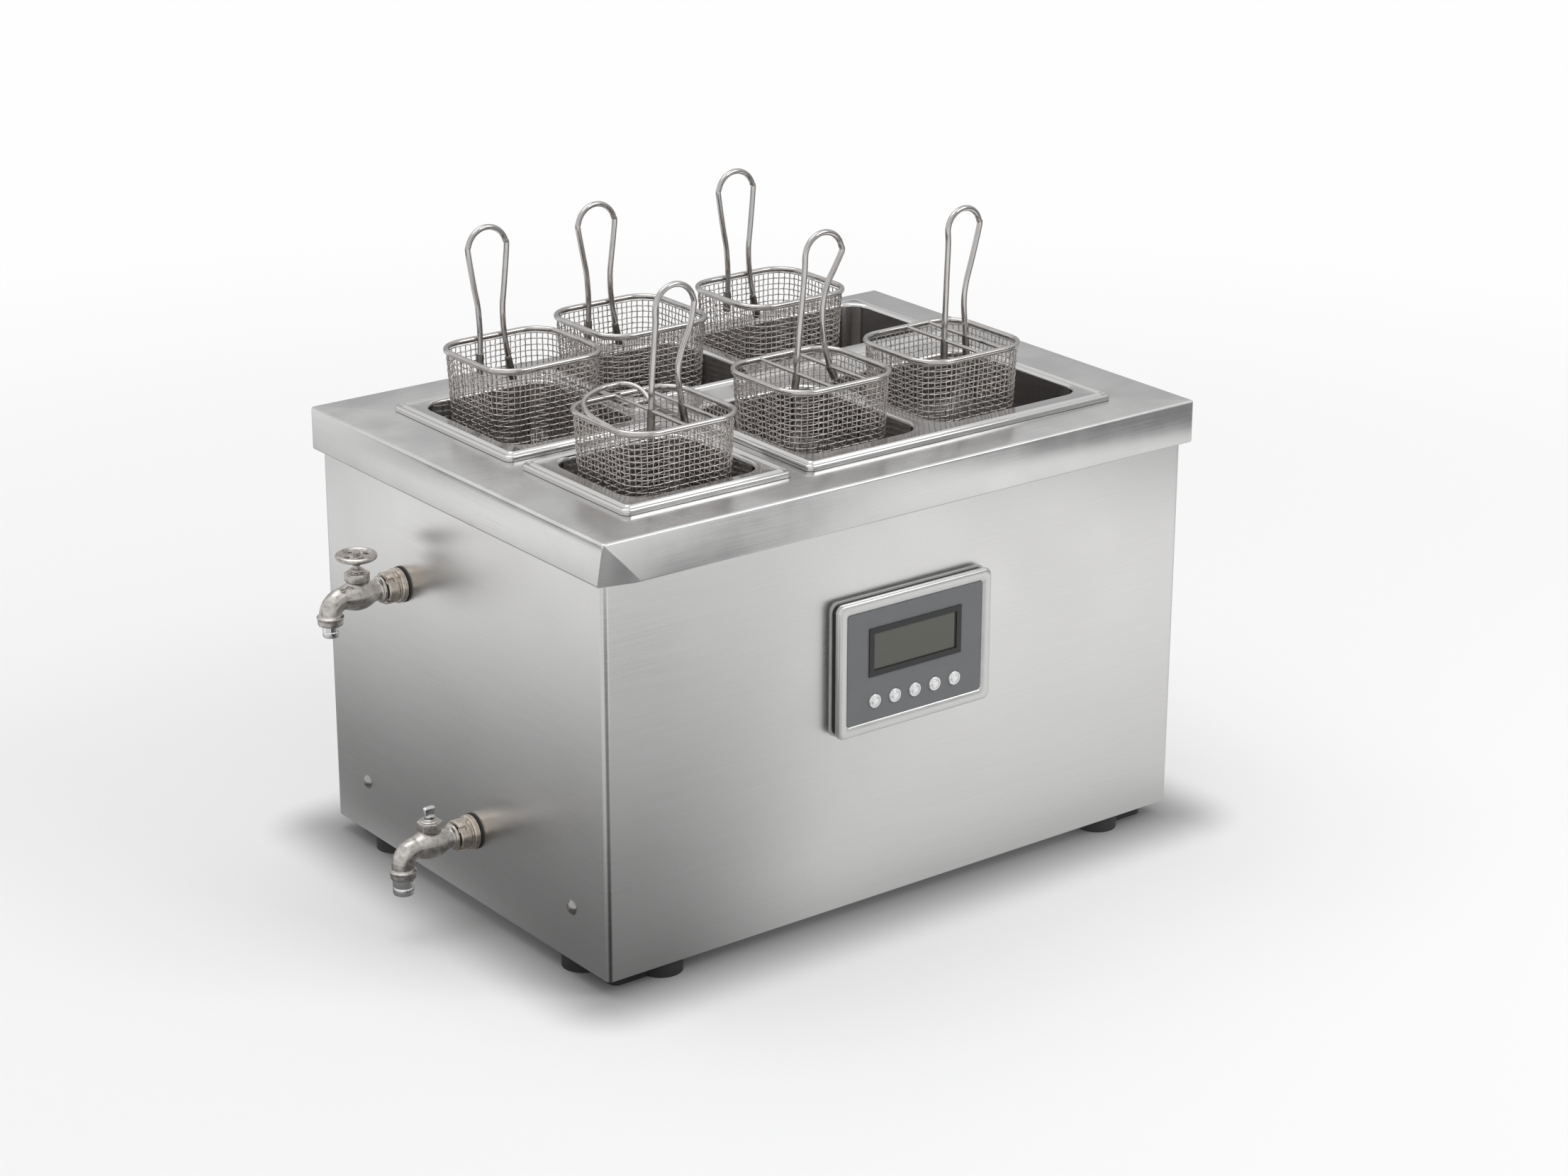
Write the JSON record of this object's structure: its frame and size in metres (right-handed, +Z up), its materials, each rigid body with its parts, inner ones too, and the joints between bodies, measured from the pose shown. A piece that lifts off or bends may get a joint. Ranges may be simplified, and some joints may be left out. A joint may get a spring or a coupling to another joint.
{
  "type": "pasta cooker",
  "caption": "Bench-top steel pasta cooker: a heated water tank under a deck with drop-in well pans, wire baskets with loop handles, side taps and a push-button control panel.",
  "frame": {"origin": "middle of the whole object's bounding box, on the plane that the feet stand on", "axes": "+Z up, -Y the front with the control panel, -X the side with both taps"},
  "size_m": [0.6958, 0.4584, 0.5625],
  "materials": {
    "deck_steel": "fine brushed, satin",
    "casing_steel": "fine horizontal brushing, satin",
    "tray_steel": "mill finish",
    "tank_steel": "dull",
    "pan_steel": "polished rim, satin well",
    "element_alloy": "oxidised sheath",
    "brass": "plain",
    "nickel": "satin nickel",
    "warm_nickel": "worn nickel",
    "bright_chrome": "bright",
    "black_rubber": "matt",
    "grey_rubber": "matt",
    "black_plastic": "matt",
    "silver_plastic": "silver lacquer",
    "dark_face": "satin grey",
    "display_glass": "unlit display",
    "board_green": "solder mask",
    "cream_plastic": "plain",
    "dark_plastic": "plain",
    "screw_steel": "bright",
    "basket_mesh": "woven wire",
    "basket_wire": "polished wire"
  },
  "bodies": {
    "housing": {"deck_cover": "deck_steel", "wrap_panel": "casing_steel", "rear_panel": "casing_steel", "base_tray": "tray_steel", "water_tank": "tank_steel", "element_front": "element_alloy", "element_rear": "element_alloy", "element_nuts": "brass", "temperature_probe": "tank_steel", "safety_thermostat": "cream_plastic", "draw_off_pipe": "brass", "drain_pipe": "brass", "upper_tap_body": "nickel", "upper_tap_bonnet": "nickel", "upper_tap_coupling": "warm_nickel", "lower_tap_body": "nickel", "lower_tap_bonnet": "nickel", "lower_tap_coupling": "warm_nickel", "tap_nozzles": "bright_chrome", "tap_washers": "black_rubber", "control_case": "black_plastic", "control_gasket": "grey_rubber", "control_bezel": "silver_plastic", "face_plate": "dark_face", "display_frame": "black_plastic", "display_window": "display_glass", "control_board": "board_green", "cable_gland": "black_plastic", "terminal_block": "cream_plastic", "power_relay": "dark_plastic", "panel_screws": "screw_steel", "foot_front_left": "black_rubber", "foot_front_right": "black_rubber", "foot_rear_left": "black_rubber", "foot_rear_right": "black_rubber"},
    "upper_wheel": {"upper_tap_spindle": "nickel", "upper_tap_handwheel": "nickel"},
    "lower_handle": {"lower_tap_spindle": "nickel", "lower_tap_handle": "bright_chrome"},
    "front_left_pan_body": {"front_left_pan": "pan_steel"},
    "rear_left_pan_body": {"rear_left_pan": "pan_steel"},
    "main_pan_body": {"main_pan": "pan_steel"},
    "back_pan_body": {"back_pan": "pan_steel"},
    "button_1_body": {"button_1": "silver_plastic"},
    "button_2_body": {"button_2": "silver_plastic"},
    "button_3_body": {"button_3": "silver_plastic"},
    "button_4_body": {"button_4": "silver_plastic"},
    "button_5_body": {"button_5": "silver_plastic"},
    "basket_1": {"basket_1_mesh": "basket_mesh", "basket_1_frame": "basket_wire"},
    "basket_2": {"basket_2_mesh": "basket_mesh", "basket_2_frame": "basket_wire"},
    "basket_3": {"basket_3_mesh": "basket_mesh", "basket_3_frame": "basket_wire"},
    "basket_4": {"basket_4_mesh": "basket_mesh", "basket_4_frame": "basket_wire"},
    "basket_5": {"basket_5_mesh": "basket_mesh", "basket_5_frame": "basket_wire"},
    "basket_6": {"basket_6_mesh": "basket_mesh", "basket_6_frame": "basket_wire"}
  },
  "joints": [
    {"name": "front_left_pan_lift", "type": "slide", "parent": "housing", "child": "front_left_pan_body", "axis": [0, 0, 1], "range_m": [0, 0.12]},
    {"name": "rear_left_pan_lift", "type": "slide", "parent": "housing", "child": "rear_left_pan_body", "axis": [0, 0, 1], "range_m": [0, 0.12]},
    {"name": "main_pan_lift", "type": "slide", "parent": "housing", "child": "main_pan_body", "axis": [0, 0, 1], "range_m": [0, 0.12]},
    {"name": "back_pan_lift", "type": "slide", "parent": "housing", "child": "back_pan_body", "axis": [0, 0, 1], "range_m": [0, 0.12]},
    {"name": "basket_1_lift", "type": "slide", "parent": "rear_left_pan_body", "child": "basket_1", "axis": [0, 0, 1], "range_m": [0, 0.15]},
    {"name": "basket_2_lift", "type": "slide", "parent": "back_pan_body", "child": "basket_2", "axis": [0, 0, 1], "range_m": [0, 0.15]},
    {"name": "basket_3_lift", "type": "slide", "parent": "back_pan_body", "child": "basket_3", "axis": [0, 0, 1], "range_m": [0, 0.15]},
    {"name": "basket_4_lift", "type": "slide", "parent": "main_pan_body", "child": "basket_4", "axis": [0, 0, 1], "range_m": [0, 0.15]},
    {"name": "basket_5_lift", "type": "slide", "parent": "front_left_pan_body", "child": "basket_5", "axis": [0, 0, 1], "range_m": [0, 0.15]},
    {"name": "basket_6_lift", "type": "slide", "parent": "main_pan_body", "child": "basket_6", "axis": [0, 0, 1], "range_m": [0, 0.15]},
    {"name": "upper_tap_turn", "type": "hinge", "parent": "housing", "child": "upper_wheel", "pos_m": [-0.3101, 0.08275, 0.288], "axis": [0, 0, 1], "range_deg": [0, 720]},
    {"name": "lower_tap_turn", "type": "hinge", "parent": "housing", "child": "lower_handle", "pos_m": [-0.3101, -0.01945, 0.0975], "axis": [0, 0, 1], "range_deg": [0, 90]},
    {"name": "button_1_press", "type": "slide", "parent": "housing", "child": "button_1_body", "axis": [0, 1, 0], "range_m": [0, 0.001], "stiffness_N_per_m": 200},
    {"name": "button_2_press", "type": "slide", "parent": "housing", "child": "button_2_body", "axis": [0, 1, 0], "range_m": [0, 0.001], "stiffness_N_per_m": 200},
    {"name": "button_3_press", "type": "slide", "parent": "housing", "child": "button_3_body", "axis": [0, 1, 0], "range_m": [0, 0.001], "stiffness_N_per_m": 200},
    {"name": "button_4_press", "type": "slide", "parent": "housing", "child": "button_4_body", "axis": [0, 1, 0], "range_m": [0, 0.001], "stiffness_N_per_m": 200},
    {"name": "button_5_press", "type": "slide", "parent": "housing", "child": "button_5_body", "axis": [0, 1, 0], "range_m": [0, 0.001], "stiffness_N_per_m": 200}
  ]
}
